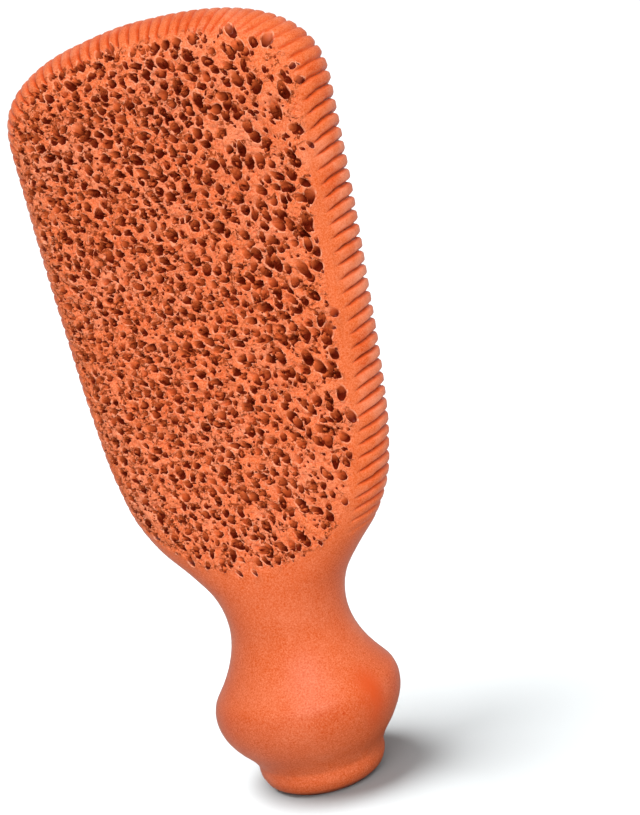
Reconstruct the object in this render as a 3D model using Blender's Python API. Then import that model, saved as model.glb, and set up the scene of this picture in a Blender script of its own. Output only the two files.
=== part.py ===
"""A fired-clay foot scrubber, modelled in metres with +Z up.

It is one piece of clay. A flat paddle has a face full of poked pits and a notched rim. Below it a
shoulder narrows to a neck, and a round knob for the hand ends in a short round foot. The scrubber
stands on that foot: the origin is the centre of the foot's flat underside, the paddle's width runs
along X, and the pitted face looks towards -Y.
"""

import math
import random
from collections import namedtuple

import bmesh
import bpy
import numpy as np
from mathutils import Matrix, Vector

MM = 0.001

# Overall sizes.
HEIGHT = 150 * MM
CREASE_HEIGHT = 5.4 * MM
NECK_HEIGHT = 35 * MM
ARCH_START = 132 * MM
ARCH_SQUARENESS = 2.5

# The outline from the front, as (height, half width). The foot ends at a crease under the knob.
FOOT = [(0, 9.9), (1.0, 11.4), (2.4, 12.3), (5.4, 12.7)]
KNOB = [(5.4, 12.7), (7, 13.6), (10.5, 16.5), (13, 17.9), (16.5, 18.6), (19.5, 18.1), (23, 15.6)]
NECK_AND_SHOULDER = [(28, 12.9), (35, 11.8), (41, 13.5), (46, 17.2), (51, 21.6), (57, 25.1)]
PADDLE_SIDES = [(65, 27.3), (80, 29.1), (95, 30.0), (110, 30.8), (132, 31.4)]
PADDLE_HALF_WIDTH = 31.4 * MM

# Half the paddle's thickness, as (height, half depth). Below the neck every section is a circle.
THICKNESS = [(35, 11.8), (46, 11.0), (60, 10.4), (80, 10.0), (150, 10.0)]

# Near the top the sections bend upwards, so that they always meet the rim squarely. Their middles run
# up the centre line from the first of these heights to the second, slowing down on the way.
BEND_START = 100 * MM
BEND_END = 132 * MM

# Points round a section, and the spacing of the sections along the outline below the notches.
POINTS_ROUND = 24
SECTION_SPACING = 2.7 * MM

# The notches in the rim. They run from the face over the rim to the back, fade out at both ends, and
# stop at the shoulder. The ends are given as shares of the way from the section's middle to the rim.
NOTCH_PITCH = 2.85 * MM
NOTCH_DEPTH = 0.8 * MM
NOTCHES_EACH_SIDE = 40
NOTCH_FADING = 4
NOTCH_END = 0.72
NOTCH_FULL = 0.90

# The pits in the face: five-sided cones, poked in with their tips down and to the right.
PIT_SPACING = 4.8 * MM
PIT_RADIUS = (1.2 * MM, 1.7 * MM)
PIT_DEPTH = (1.4 * MM, 2.1 * MM)
PIT_SIDES = 5
PIT_TILT = math.radians(24)
PIT_TILT_AXIS = Vector((-1, 0, -1))
PIT_JITTER = 0.40 * MM
PIT_CLEARANCE = 0.35 * MM
PIT_MARGIN_LEFT = 4.6 * MM
PIT_MARGIN_RIGHT = 7.4 * MM
PIT_MARGIN_TOP = 6.5 * MM
PIT_LOWEST = 47 * MM
PIT_SEED = 7

CLAY_COLOUR = (0.72, 0.185, 0.075, 1.0)
CLAY_ROUGHNESS = 0.62

# Corners closer than this are welded.
WELD = 0.001 * MM

# Edges sharper than this stay crisp in the shading.
SHARP_ANGLE = math.radians(35)

# The angle to either side at which a section's slope is read.
SLOPE_STEP = math.radians(1)

Section = namedtuple("Section", "half_width rim_height middle_height half_depth reach squareness notch")


def clear_scene():
    """Remove the objects that Blender starts with."""
    for item in list(bpy.data.objects):
        bpy.data.objects.remove(item)


def new_collection(name):
    """Add a collection to the scene."""
    collection = bpy.data.collections.new(name)
    bpy.context.scene.collection.children.link(collection)
    return collection


def curve_through(stations, where):
    """Read a smooth curve through the (place, value) stations, each slope taken from its neighbours."""
    place, value = (np.array(stations) * MM).T
    slope = np.gradient(value, place)
    first = np.clip(np.searchsorted(place, where, side="right") - 1, 0, len(place) - 2)
    step = place[first + 1] - place[first]
    t = (where - place[first]) / step
    start = (2 * t**3 - 3 * t**2 + 1) * value[first] + (t**3 - 2 * t**2 + t) * step * slope[first]
    end = (3 * t**2 - 2 * t**3) * value[first + 1] + (t**3 - t**2) * step * slope[first + 1]
    return start + end


def trace_outline(points=400):
    """The right half of the outline, from the foot's edge up to the middle of the top.

    It is three runs: the foot, the knob with the neck, shoulder and paddle sides, and the arched top,
    which is a quarter of a superellipse. Returns half widths, heights and distances along the outline.
    """
    foot = np.linspace(0, CREASE_HEIGHT, points)[:-1]
    sides = np.linspace(CREASE_HEIGHT, ARCH_START, points)
    turn = np.linspace(0, math.pi / 2, points)[1:]
    power = 2 / ARCH_SQUARENESS
    half_width = np.concatenate([
        curve_through(FOOT, foot),
        curve_through(KNOB + NECK_AND_SHOULDER + PADDLE_SIDES, sides),
        PADDLE_HALF_WIDTH * np.cos(turn) ** power,
    ])
    height = np.concatenate([foot, sides, ARCH_START + (HEIGHT - ARCH_START) * np.sin(turn) ** power])
    half_width[-1] = 0
    steps = np.hypot(np.diff(half_width), np.diff(height))
    return half_width, height, np.concatenate([[0], np.cumsum(steps)])


OUTLINE_WIDTH, OUTLINE_HEIGHT, OUTLINE_DISTANCE = trace_outline()
OUTLINE_LENGTH = OUTLINE_DISTANCE[-1]
BEND_DISTANCE = float(np.interp(BEND_START, OUTLINE_HEIGHT, OUTLINE_DISTANCE))


def section_at(distance, notch=0):
    """The section that meets the rim at a distance along the outline, with a notch of some depth.

    Its front and back are |r| ** squareness + (y / half depth) ** 2 = 1, where r runs from the middle
    to the rim. The squareness makes the rim a full round edge, and makes a round section a circle.
    """
    half_width = float(np.interp(distance, OUTLINE_DISTANCE, OUTLINE_WIDTH))
    rim_height = float(np.interp(distance, OUTLINE_DISTANCE, OUTLINE_HEIGHT))
    middle_height = rim_height
    if distance > BEND_DISTANCE:
        left_to_go = (OUTLINE_LENGTH - distance) / (OUTLINE_LENGTH - BEND_DISTANCE)
        rise = BEND_END - BEND_START
        slowing = (OUTLINE_LENGTH - BEND_DISTANCE) / rise
        middle_height = BEND_START + rise * (1 - left_to_go**slowing)
    if rim_height < NECK_HEIGHT:
        half_depth = half_width
    else:
        half_depth = float(curve_through(THICKNESS, middle_height))
    reach = math.hypot(half_width, rim_height - middle_height)
    squareness = max(2, 2 * reach / half_depth)
    return Section(half_width, rim_height, middle_height, half_depth, reach, squareness, notch)


def smooth_step(start, end, value):
    """Rise smoothly from 0 at the start to 1 at the end."""
    share = min(max((value - start) / (end - start), 0), 1)
    return share * share * (3 - 2 * share)


def section_edge(section, turn):
    """The section's curve in its own plane: the way out from the middle, and y."""
    r = math.sin(turn)
    depth = section.half_depth * math.sqrt(max(0.0, 1 - abs(r) ** section.squareness))
    return Vector((section.reach * r, -math.copysign(depth, math.cos(turn))))


def section_point(section, turn, side=1):
    """The point at an angle round one half of a section: 0 is the front's middle, pi the back's."""
    edge = section_edge(section, turn)
    if section.notch:
        along = section_edge(section, turn + SLOPE_STEP) - section_edge(section, turn - SLOPE_STEP)
        inward = Vector((-along.y, along.x)).normalized()
        edge += inward * section.notch * smooth_step(NOTCH_END, NOTCH_FULL, math.sin(turn))
    share = edge.x / section.reach
    height = section.middle_height + (section.rim_height - section.middle_height) * share
    return Vector((side * section.half_width * share, edge.y, height))


def section_loop(section):
    """All the points round a section, starting at the front's middle and going to the right."""
    turns = [2 * math.pi * index / POINTS_ROUND for index in range(POINTS_ROUND)]
    right = [section_point(section, turn) for turn in turns if turn <= math.pi]
    left = [section_point(section, 2 * math.pi - turn, side=-1) for turn in turns if turn > math.pi]
    return right + left


def loft(shape, loops):
    """Join loops of points with quads, and give back the rings of corners."""
    rings = [[shape.verts.new(point) for point in loop] for loop in loops]
    for below, above in zip(rings, rings[1:]):
        for index, corner in enumerate(below):
            following = (index + 1) % len(below)
            shape.faces.new((corner, below[following], above[following], above[index]))
    return rings


def mesh_object(shape, name, collection):
    """Turn a bmesh into an object, with its faces pointing out."""
    bmesh.ops.recalc_face_normals(shape, faces=shape.faces)
    mesh = bpy.data.meshes.new(name)
    shape.to_mesh(mesh)
    shape.free()
    item = bpy.data.objects.new(name, mesh)
    collection.objects.link(item)
    return item


def body_sections():
    """The sections from the foot to the top: evenly spaced, then a ridge and a notch by turns."""
    crease = float(np.interp(CREASE_HEIGHT, OUTLINE_HEIGHT, OUTLINE_DISTANCE))
    first_notch = OUTLINE_LENGTH - NOTCHES_EACH_SIDE * NOTCH_PITCH
    foot = np.linspace(0, crease, len(FOOT), endpoint=False)
    count = round((first_notch - crease) / SECTION_SPACING)
    handle = np.linspace(crease, first_notch, count, endpoint=False)
    sections = [section_at(distance) for distance in [*foot, *handle]]
    for number in range(NOTCHES_EACH_SIDE):
        ridge = first_notch + number * NOTCH_PITCH
        depth = NOTCH_DEPTH * min(1, (number + 1) / NOTCH_FADING)
        sections.append(section_at(ridge))
        sections.append(section_at(ridge + NOTCH_PITCH / 2, depth))
    return sections + [section_at(OUTLINE_LENGTH)]


def add_body(collection):
    """The clay before it is poked: a loft of sections from the foot to the arched top."""
    shape = bmesh.new()
    rings = loft(shape, [section_loop(section) for section in body_sections()])
    shape.faces.new(rings[0])
    # The last section folds flat, and its two halves meet along the middle of the top.
    bmesh.ops.remove_doubles(shape, verts=rings[-1], dist=WELD)
    return mesh_object(shape, "foot_scrubber", collection)


def pit_margin(x, z, rim_x, rim_z):
    """How far from the rim the pits stop: close on the left, further in on the right and at the top."""
    side_margin = PIT_MARGIN_RIGHT if rim_x > x else PIT_MARGIN_LEFT
    upward = max(0.0, math.sin(math.atan2(rim_z - z, abs(rim_x - x))))
    return side_margin * (1 - upward) + PIT_MARGIN_TOP * upward


def pit_centres():
    """Places for the pits on the face: a hexagonal grid, kept inside the rim and above the neck."""
    rim_x = np.concatenate([OUTLINE_WIDTH, -OUTLINE_WIDTH])
    rim_z = np.concatenate([OUTLINE_HEIGHT, OUTLINE_HEIGHT])
    row_spacing = PIT_SPACING * math.sqrt(3) / 2
    columns = int(PADDLE_HALF_WIDTH / PIT_SPACING) + 1
    for row in range(int((HEIGHT - PIT_LOWEST) / row_spacing)):
        z = PIT_LOWEST + row * row_spacing
        for column in range(-columns, columns + 1):
            x = (column + 0.5 * (row % 2)) * PIT_SPACING
            distance = np.hypot(rim_x - x, rim_z - z)
            nearest = int(np.argmin(distance))
            inside = abs(x) < float(np.interp(z, OUTLINE_HEIGHT, OUTLINE_WIDTH))
            if inside and distance[nearest] > pit_margin(x, z, rim_x[nearest], rim_z[nearest]):
                yield x, z


def add_pit_cutter(body, collection):
    """One cutter with a cone for every pit, each set square to the face and then tilted a little."""
    chance = random.Random(PIT_SEED)
    shape = bmesh.new()
    for x, z in pit_centres():
        x += chance.uniform(-PIT_JITTER, PIT_JITTER)
        z += chance.uniform(-PIT_JITTER, PIT_JITTER)
        radius = chance.uniform(*PIT_RADIUS)
        depth = chance.uniform(*PIT_DEPTH)
        tilt = Matrix.Rotation(chance.uniform(0, PIT_TILT), 4, PIT_TILT_AXIS)
        spin = Matrix.Rotation(chance.uniform(0, math.pi), 4, "Z")
        _, point, normal, _ = body.ray_cast(Vector((x, -HEIGHT, z)), Vector((0, 1, 0)))
        length = depth + PIT_CLEARANCE
        mouth = radius * length / depth
        cone = bmesh.ops.create_cone(
            shape, cap_ends=True, segments=PIT_SIDES, radius1=0, radius2=mouth, depth=length
        )
        outward = normal.to_track_quat("Z", "Y").to_matrix().to_4x4()
        place = Matrix.Translation(point + normal * (PIT_CLEARANCE - depth) / 2)
        bmesh.ops.transform(shape, matrix=place @ tilt @ outward @ spin, verts=cone["verts"])
        bmesh.ops.remove_doubles(shape, verts=cone["verts"], dist=WELD)
    return mesh_object(shape, "pit_cutter", collection)


def cut(body, cutter):
    """Take a cutter's shape out of the body, and leave the cutter as a hidden guide."""
    cutter.hide_render = True
    cutter.display_type = "WIRE"
    modifier = body.modifiers.new(cutter.name, "BOOLEAN")
    modifier.operation = "DIFFERENCE"
    modifier.solver = "EXACT"
    modifier.object = cutter


def fired_clay():
    """The unglazed orange clay."""
    material = bpy.data.materials.new("fired_clay")
    material.use_nodes = True
    shader = material.node_tree.nodes["Principled BSDF"]
    shader.inputs["Base Color"].default_value = CLAY_COLOUR
    shader.inputs["Roughness"].default_value = CLAY_ROUGHNESS
    shader.inputs["Metallic"].default_value = 0.0
    return material


def main():
    clear_scene()
    scrubber = new_collection("foot_scrubber")
    cutters = new_collection("cutters")
    body = add_body(scrubber)
    body.data.materials.append(fired_clay())
    bpy.context.view_layer.update()
    cut(body, add_pit_cutter(body, cutters))
    body.data.shade_smooth()
    body.data.set_sharp_from_angle(angle=SHARP_ANGLE)


main()
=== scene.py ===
"""The looks of a fired-clay foot scrubber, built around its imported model.

The scrubber is one piece of clay, so one surface replaces the plain model. It has the same outline and
thickness, and adds what the hand and the tools left in the clay: hundreds of pits poked at a slant
into the face, a rim notched all round, and a smoothed handle. The rest is a plain pale floor, a bright
room, soft lights and the camera. Lengths are in metres, +Z is up, and the pitted face looks towards -Y.
"""

import itertools
import math

import bpy
import numpy as np
from bpy.props import FloatProperty, FloatVectorProperty, IntProperty, PointerProperty
from mathutils import Matrix, Vector


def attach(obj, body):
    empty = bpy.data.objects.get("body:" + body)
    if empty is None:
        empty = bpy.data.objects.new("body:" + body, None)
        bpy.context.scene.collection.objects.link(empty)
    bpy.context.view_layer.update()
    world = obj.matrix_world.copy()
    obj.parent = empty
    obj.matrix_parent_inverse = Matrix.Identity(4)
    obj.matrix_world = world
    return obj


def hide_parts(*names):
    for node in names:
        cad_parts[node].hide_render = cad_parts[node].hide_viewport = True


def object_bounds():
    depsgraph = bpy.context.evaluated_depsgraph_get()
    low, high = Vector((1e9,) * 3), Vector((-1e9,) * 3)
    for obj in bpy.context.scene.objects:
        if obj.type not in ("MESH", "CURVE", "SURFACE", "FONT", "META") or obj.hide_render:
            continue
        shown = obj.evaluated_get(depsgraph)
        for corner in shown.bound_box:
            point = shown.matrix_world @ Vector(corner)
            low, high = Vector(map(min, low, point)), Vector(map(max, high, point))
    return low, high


bl_info = {
    "name": "Clay Foot Scrubber",
    "version": (1, 0, 0),
    "blender": (4, 5, 0),
    "location": "View3D > Sidebar > Foot Scrubber",
    "description": "Builds the pitted clay of a foot scrubber, its stage, lights and camera",
    "category": "Object",
}

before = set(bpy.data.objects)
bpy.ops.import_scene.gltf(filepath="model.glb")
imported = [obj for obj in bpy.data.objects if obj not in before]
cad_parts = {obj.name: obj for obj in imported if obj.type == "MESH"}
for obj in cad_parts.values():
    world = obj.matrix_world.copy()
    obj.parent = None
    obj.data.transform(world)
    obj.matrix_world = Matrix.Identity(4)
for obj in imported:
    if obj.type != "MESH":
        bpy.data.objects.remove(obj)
CAD_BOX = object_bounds()

MM = 0.001
HEIGHT = CAD_BOX[1].z

# The outline from the front, as (height, half width) in millimetres. The foot ends at a crease.
CREASE_HEIGHT = 5.4 * MM
NECK_HEIGHT = 35 * MM
FOOT = [(0, 9.9), (1.0, 11.4), (2.4, 12.3), (5.4, 12.7)]
KNOB = [
    (5.4, 12.7), (7, 13.6), (10.5, 16.4), (13, 17.8), (16, 18.55), (18.4, 18.35), (19.8, 17.8), (21.2, 16.8),
    (23, 15.5),
]
NECK_AND_SHOULDER = [(28, 12.9), (35, 11.8), (41, 13.5), (46, 17.2), (51, 21.6), (57, 25.1)]
PADDLE_SIDES = [(65, 27.3), (80, 29.1), (95, 30.0), (110, 30.8), (132, 31.4)]
PADDLE_HALF_WIDTH = 31.4 * MM
ARCH_START = 132 * MM
ARCH_SQUARENESS = 2.5

# Half the thickness, as (height, half depth) in millimetres. Below the neck every ring is a circle.
THICKNESS = [(35, 11.8), (46, 11.0), (60, 10.4), (80, 10.0), (150, 10.0)]

# Near the top the rings bend upwards, so that they always meet the rim squarely. Their middles run up
# the centre line from the first of these heights to the second, slowing down on the way.
BEND_START = 100 * MM
BEND_END = 132 * MM

# Spacing of the surface's points. Along the outline, as (height, spacing) in millimetres; and round
# a ring, as (share of a half turn from the front's middle to the back's, spacing).
SPACING_ALONG = [(0, 0.35), (6, 0.5), (30, 0.7), (40, 0.16), (120, 0.16), (135, 0.2), (150, 0.2)]
SPACING_ROUND = [(0, 0.17), (0.38, 0.17), (0.42, 0.35), (0.56, 0.45), (0.65, 1.2), (1, 1.6)]
# The rings that close the flat underside, as shares of the foot's lowest ring.
FOOT_RINGS = (0.02, 0.5, 0.97)
# The mesh is thinned to about this many triangles, and has to end up below the limit.
MOST_TRIANGLES = 198000
TRIANGLE_LIMIT = 200000

# Round the rim, the place is the way from the middle of the top, clockwise as the front is seen, in
# millimetres. A notch leans clockwise by this much for each millimetre that it runs outwards.
NOTCH_PITCH = [(-150, 2.3), (-40, 2.3), (-25, 2.1), (25, 2.1), (40, 2.55), (150, 2.55)]
NOTCH_LEAN = [
    (-150, 0.34), (-55, 0.34), (-22, 0.4), (-12, 0.2), (0, -0.15), (10, -0.38), (16, -0.25), (24, 0.35),
    (36, 0.0), (48, -0.34), (85, -0.34), (120, -0.22), (150, -0.22),
]
NOTCH_STRENGTH = [
    (-150, 1), (-40, 1), (-25, 1.05), (0, 1.2), (12, 1.15), (20, 0.6), (30, 0.7), (40, 0.85), (50, 1),
    (150, 1),
]
# The ribs between notches slope off gently on one side: clockwise for 1, anticlockwise for -1.
NOTCH_SOFT_SIDE = [(-150, -1), (-30, -0.5), (10, 0.5), (40, 1), (150, 1)]
# The share of the way from a ring's middle to the rim at which the notches start on the front, and the
# same on the back. They reach their full depth a little further out.
NOTCH_START = [
    (-150, 0.90), (-45, 0.90), (-25, 0.78), (15, 0.78), (35, 0.865), (85, 0.88), (115, 0.82), (150, 0.80),
]
NOTCH_START_BEHIND = 0.80
NOTCH_RUN_IN = 0.07
# Going up the shoulder, the notches fade in between these heights of the rim.
NOTCHES_FADE_IN = (49 * MM, 57 * MM)
# Each notch's own strength is drawn between two limits, and the draws repeat after so many notches.
NOTCH_CHANCE = (0.8, 1.15)
NOTCH_DRAWS = 200
# The notches waver by this much, in waves of this size.
NOTCH_WAVER = 0.16 * MM
NOTCH_WAVE = 2.2 * MM
# A notch's curve has this power where it starts and at the rim, less a change on a rib's soft side.
POWER_INSIDE, POWER_AT_RIM, POWER_CHANGE = 7, 4, 2
# Near the middle of the top, and close to the rim itself, the notches are shallower by a share.
TOP_REACH = (45 * MM, 28 * MM)
TOP_RIM = (0.9, 1)
TOP_FADE = 0.35

# How far the middles of the pits stay from the outline: on the left, on the right as (height, distance),
# and at the top.
PITS_FROM_LEFT = 2.8 * MM
PITS_FROM_RIGHT = [(45, 6.8), (62, 5.4), (72, 4.8), (85, 5.7), (110, 5.7), (122, 4.6), (150, 4.2)]
PITS_FROM_TOP = 3.7 * MM
# The margin of the torn clay goes over from the side's to the top's between these heights of the rim.
TOP_MARGIN = (128 * MM, 146 * MM)
# The lower edge of the pitted field is a shallow bowl: its lowest height, and how far it has risen at
# a distance from the centre line.
LOWEST_PIT = 47.2 * MM
BOWL_RISE = 4.2 * MM
BOWL_DISTANCE = 15 * MM
BOWL_POWER = 2.5
# The torn clay fades in from this far outside the field's edge to this far inside it.
FIELD_EDGE = (-0.9 * MM, 0.5 * MM)
# Nothing below this height is poked or torn.
FACE_START = 38 * MM

# The large, small and tiny pokes: their spacing and their size against those of the large ones, and the
# share of the grid's places that they fill.
POKE_KINDS = ((1, 1, 0.97), (0.85, 0.5, 0.5), (0.5, 0.3, 0.4))
# The pokes of a kind are made in turns. Those of one turn are this many rows and columns apart.
GROUPS = 4
# A poke pushes the clay round its mouth outwards, as far as a number of radii. The lip's width is in
# radii too, and a long mouth is narrower at its back by a share.
PUSH = 0.72
PUSH_REACH = 2.6
LIP_WIDTH = 0.16
MOUTH_TAPER = 0.35
# The power of a pit's curve halfway along its mouth, and how much it falls to the back and rises to
# the front. Then the same two numbers for the share of its full depth that the pit has there.
BORE_POWER, BORE_POWER_CHANGE = 3.2, 1.8
BORE_DEPTH, BORE_DEPTH_CHANGE = 0.6, 0.4
# The mouths' edges waver by this much, in waves of this size. Going left between the two places, the
# wavering grows to twice as much.
MOUTH_WAVER = 0.16 * MM
MOUTH_WAVE = 1.4 * MM
WAVER_ACROSS = (20 * MM, -5 * MM)

# The relief of the torn clay: the height of the lips, and the height and size of the roughness, the
# swelling and the cracks. The depth of a pit varies with the roughness, by a share.
LIP_HEIGHT = 0.20 * MM
ROUGH_HEIGHT, ROUGH_SIZE = 0.12 * MM, 0.8 * MM
SWELL_HEIGHT, SWELL_SIZE = 0.22 * MM, 1.9 * MM
CRACK_DEPTH, CRACK_SIZE = 0.35 * MM, 1.3 * MM
PIT_ROUGHNESS = 0.12

# The surface lies this far inside the plain model.
CLAY_INSET = 0.02 * MM
# The knob is tilted: it rises by a share of the way to the right, and by one of the way to the back. The
# tilt fades in above the foot and out towards the neck.
KNOB_TILT = (0.046, -0.03)
TILT_FADE_IN = (6 * MM, 13 * MM)
TILT_FADE_OUT = (34 * MM, 20 * MM)
# The upper left corner is lower than the right one. The drop grows to the left and upwards.
CORNER_DROP = 0.6 * MM
CORNER_ACROSS = (-2 * MM, -14 * MM)
CORNER_UP = (136 * MM, 147 * MM)

# The picture's size, the camera's focal length and the place of its aim in the picture, in pixels.
FRAME_WIDTH = 640
FRAME_HEIGHT = 815
FOCAL_PIXELS = 1843
AIM_PIXEL = (239.4, 412.3)
AIM = Vector((0, 0, 75 * MM))
SENSOR = 36
# Each soft light's way round from the front, its height over the horizon and the width of sky that it
# covers, in degrees.
FRONT_LIGHT = (22, 40, 50)
FLOOR_LIGHT = (-70, 71, 42)
# The floor's reach to each side. It lies a hair under the foot, so that the two don't share a plane.
FLOOR_REACH = 3.0
FLOOR_LEVEL = -0.02 * MM


class ClaySizes(bpy.types.PropertyGroup):
    """Sizes of what the tools left in the clay."""

    notch_depth: FloatProperty(
        name="Notch depth", description="Depth of the notches at the rim",
        default=1.25 * MM, min=0, unit="LENGTH",
    )
    pit_spacing: FloatProperty(
        name="Pit spacing", description="Distance between the large pits in the face",
        default=2.35 * MM, min=1 * MM, unit="LENGTH",
    )
    pit_radius: FloatProperty(
        name="Pit radius", description="Radius of a large pit's mouth",
        default=0.79 * MM, min=0.2 * MM, unit="LENGTH",
    )
    pit_depth: FloatProperty(
        name="Pit depth", description="Depth of a large pit",
        default=1.6 * MM, min=0, unit="LENGTH",
    )
    seed: IntProperty(name="Seed", description="Picks another scatter of pits", default=11, min=0)


class ClayLooks(bpy.types.PropertyGroup):
    """Colours and finish of the fired clay, with its painted highlights and shade."""

    clay: FloatVectorProperty(
        name="Clay", description="The clay where it is smooth",
        subtype="COLOR", size=3, min=0, max=1, default=(0.745, 0.134, 0.034),
    )
    paddle: FloatVectorProperty(
        name="Paddle", description="The smooth clay of the paddle, a little paler than the handle's",
        subtype="COLOR", size=3, min=0, max=1, default=(0.835, 0.163, 0.042),
    )
    # Painted shade: the clay under the knob's ridge faces down, and this darker colour stands for its shade.
    shade_under_ridge: FloatVectorProperty(
        name="Under the ridge", description="The darker clay under the knob's ridge",
        subtype="COLOR", size=3, min=0, max=1, default=(0.68, 0.112, 0.026),
    )
    # Paler clay in the clouds and over the face, and also the painted highlight on the pits' lips and the
    # crumbs.
    pale: FloatVectorProperty(
        name="Pale edges", description="Raised edges, rubbed and pinkish",
        subtype="COLOR", size=3, min=0, max=1, default=(0.97, 0.32, 0.17),
    )
    # Painted highlight on the lips round the pits.
    lip: FloatVectorProperty(
        name="Pit lips", description="The palest edges, on the lips round the pits",
        subtype="COLOR", size=3, min=0, max=1, default=(1.0, 0.40, 0.23),
    )
    # Patches of stronger orange in the clay. The same colour also starts the painted shade in the notches.
    rusty: FloatVectorProperty(
        name="Rusty patches", description="Patches of stronger orange",
        subtype="COLOR", size=3, min=0, max=1, default=(0.74, 0.105, 0.014),
    )
    # A patch of darker, stronger orange on the right of the knob.
    patch: FloatVectorProperty(
        name="Knob's patch", description="The rusty patch on the right of the knob",
        subtype="COLOR", size=3, min=0, max=1, default=(0.72, 0.085, 0.008),
    )
    # The first step of the painted shade inside the pits and in the cracks.
    wall: FloatVectorProperty(
        name="Pit walls", description="The clay just inside the pits' mouths",
        subtype="COLOR", size=3, min=0, max=1, default=(0.74, 0.145, 0.036),
    )
    # Painted shade deep in the pits, and in the cracks and notches.
    pit: FloatVectorProperty(
        name="Pits", description="The clay deep inside the pits",
        subtype="COLOR", size=3, min=0, max=1, default=(0.155, 0.012, 0.0025),
    )
    smooth_roughness: FloatProperty(
        name="Handle roughness", description="Roughness of the smoothed handle",
        subtype="FACTOR", default=0.42, min=0, max=1,
    )
    face_roughness: FloatProperty(
        name="Face roughness", description="Roughness of the torn clay between the pits",
        subtype="FACTOR", default=0.72, min=0, max=1,
    )


class StageLooks(bpy.types.PropertyGroup):
    """The floor, the lights and the camera."""

    floor: FloatVectorProperty(
        name="Floor", description="Colour of the floor as the camera sees it",
        subtype="COLOR", size=3, min=0, max=1, default=(0.295, 0.308, 0.312),
    )
    floor_bounce: FloatVectorProperty(
        name="Floor's light", description="Colour of the light that the floor throws back at the clay",
        subtype="COLOR", size=3, min=0, max=1, default=(0.135, 0.135, 0.135),
    )
    room_light: FloatProperty(
        name="Room light", description="Brightness of the light from the white room all round",
        default=0.50, min=0,
    )
    room_seen: FloatProperty(
        name="Room as seen", description="Brightness of the room as the camera sees it",
        default=1.1, min=0,
    )
    front_light: FloatProperty(
        name="Front light", description="Strength of the broad soft light over the camera",
        default=2.42, min=0,
    )
    floor_light: FloatProperty(
        name="Floor light", description="Strength of the soft light that whitens the floor from the left",
        default=11.0, min=0,
    )
    azimuth: FloatProperty(
        name="Azimuth", description="Way round from the front to the camera",
        subtype="ANGLE", default=math.radians(20),
    )
    elevation: FloatProperty(
        name="Elevation", description="Height of the camera over the horizon",
        subtype="ANGLE", default=math.radians(12),
    )
    roll: FloatProperty(
        name="Roll", description="Turn of the camera about its own axis",
        subtype="ANGLE", default=math.radians(13.6),
    )
    distance: FloatProperty(
        name="Distance", description="From the camera to the middle of the scrubber",
        default=350 * MM, unit="LENGTH",
    )


def curve_through(stations, where):
    """A smooth curve through (place, value) stations in millimetres, each slope taken from its neighbours.

    Between two stations it is the cubic with their values and slopes at its ends.
    """
    place, value = (np.array(stations) * MM).T
    slope = np.gradient(value, place)
    first = np.clip(np.searchsorted(place, where, side="right") - 1, 0, len(place) - 2)
    step = place[first + 1] - place[first]
    t = (where - place[first]) / step
    start = (2 * t**3 - 3 * t**2 + 1) * value[first] + (t**3 - 2 * t**2 + t) * step * slope[first]
    end = (3 * t**2 - 2 * t**3) * value[first + 1] + (t**3 - t**2) * step * slope[first + 1]
    return start + end


def line_through(stations, where):
    """Straight lines through (place, value) stations, with the places in millimetres."""
    place, value = np.array(stations).T
    return np.interp(where, place * MM, value)


def smooth_step(start, end, value):
    """Rise smoothly from 0 at the start to 1 at the end."""
    share = np.clip((value - start) / (end - start), 0, 1)
    return share * share * (3 - 2 * share)


def trace_outline(points=900):
    """The right half of the outline as half widths, heights and distances from the foot's edge.

    The foot and the sides follow their stations. The top is a quarter of the superellipse
    (width / half width) ** squareness + (rise / full rise) ** squareness = 1.
    """
    foot = np.linspace(0, CREASE_HEIGHT, points)[:-1]
    sides = np.linspace(CREASE_HEIGHT, ARCH_START, points)
    turn = np.linspace(0, math.pi / 2, points)[1:]
    power = 2 / ARCH_SQUARENESS
    half_width = np.concatenate([
        curve_through(FOOT, foot),
        curve_through(KNOB + NECK_AND_SHOULDER + PADDLE_SIDES, sides),
        PADDLE_HALF_WIDTH * np.cos(turn) ** power,
    ])
    height = np.concatenate([foot, sides, ARCH_START + (HEIGHT - ARCH_START) * np.sin(turn) ** power])
    half_width[-1] = 0
    steps = np.hypot(np.diff(half_width), np.diff(height))
    return half_width, height, np.concatenate([[0], np.cumsum(steps)])


OUTLINE_WIDTH, OUTLINE_HEIGHT, OUTLINE_DISTANCE = trace_outline()
OUTLINE_LENGTH = float(OUTLINE_DISTANCE[-1])
BEND_DISTANCE = float(np.interp(BEND_START, OUTLINE_HEIGHT, OUTLINE_DISTANCE))


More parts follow.
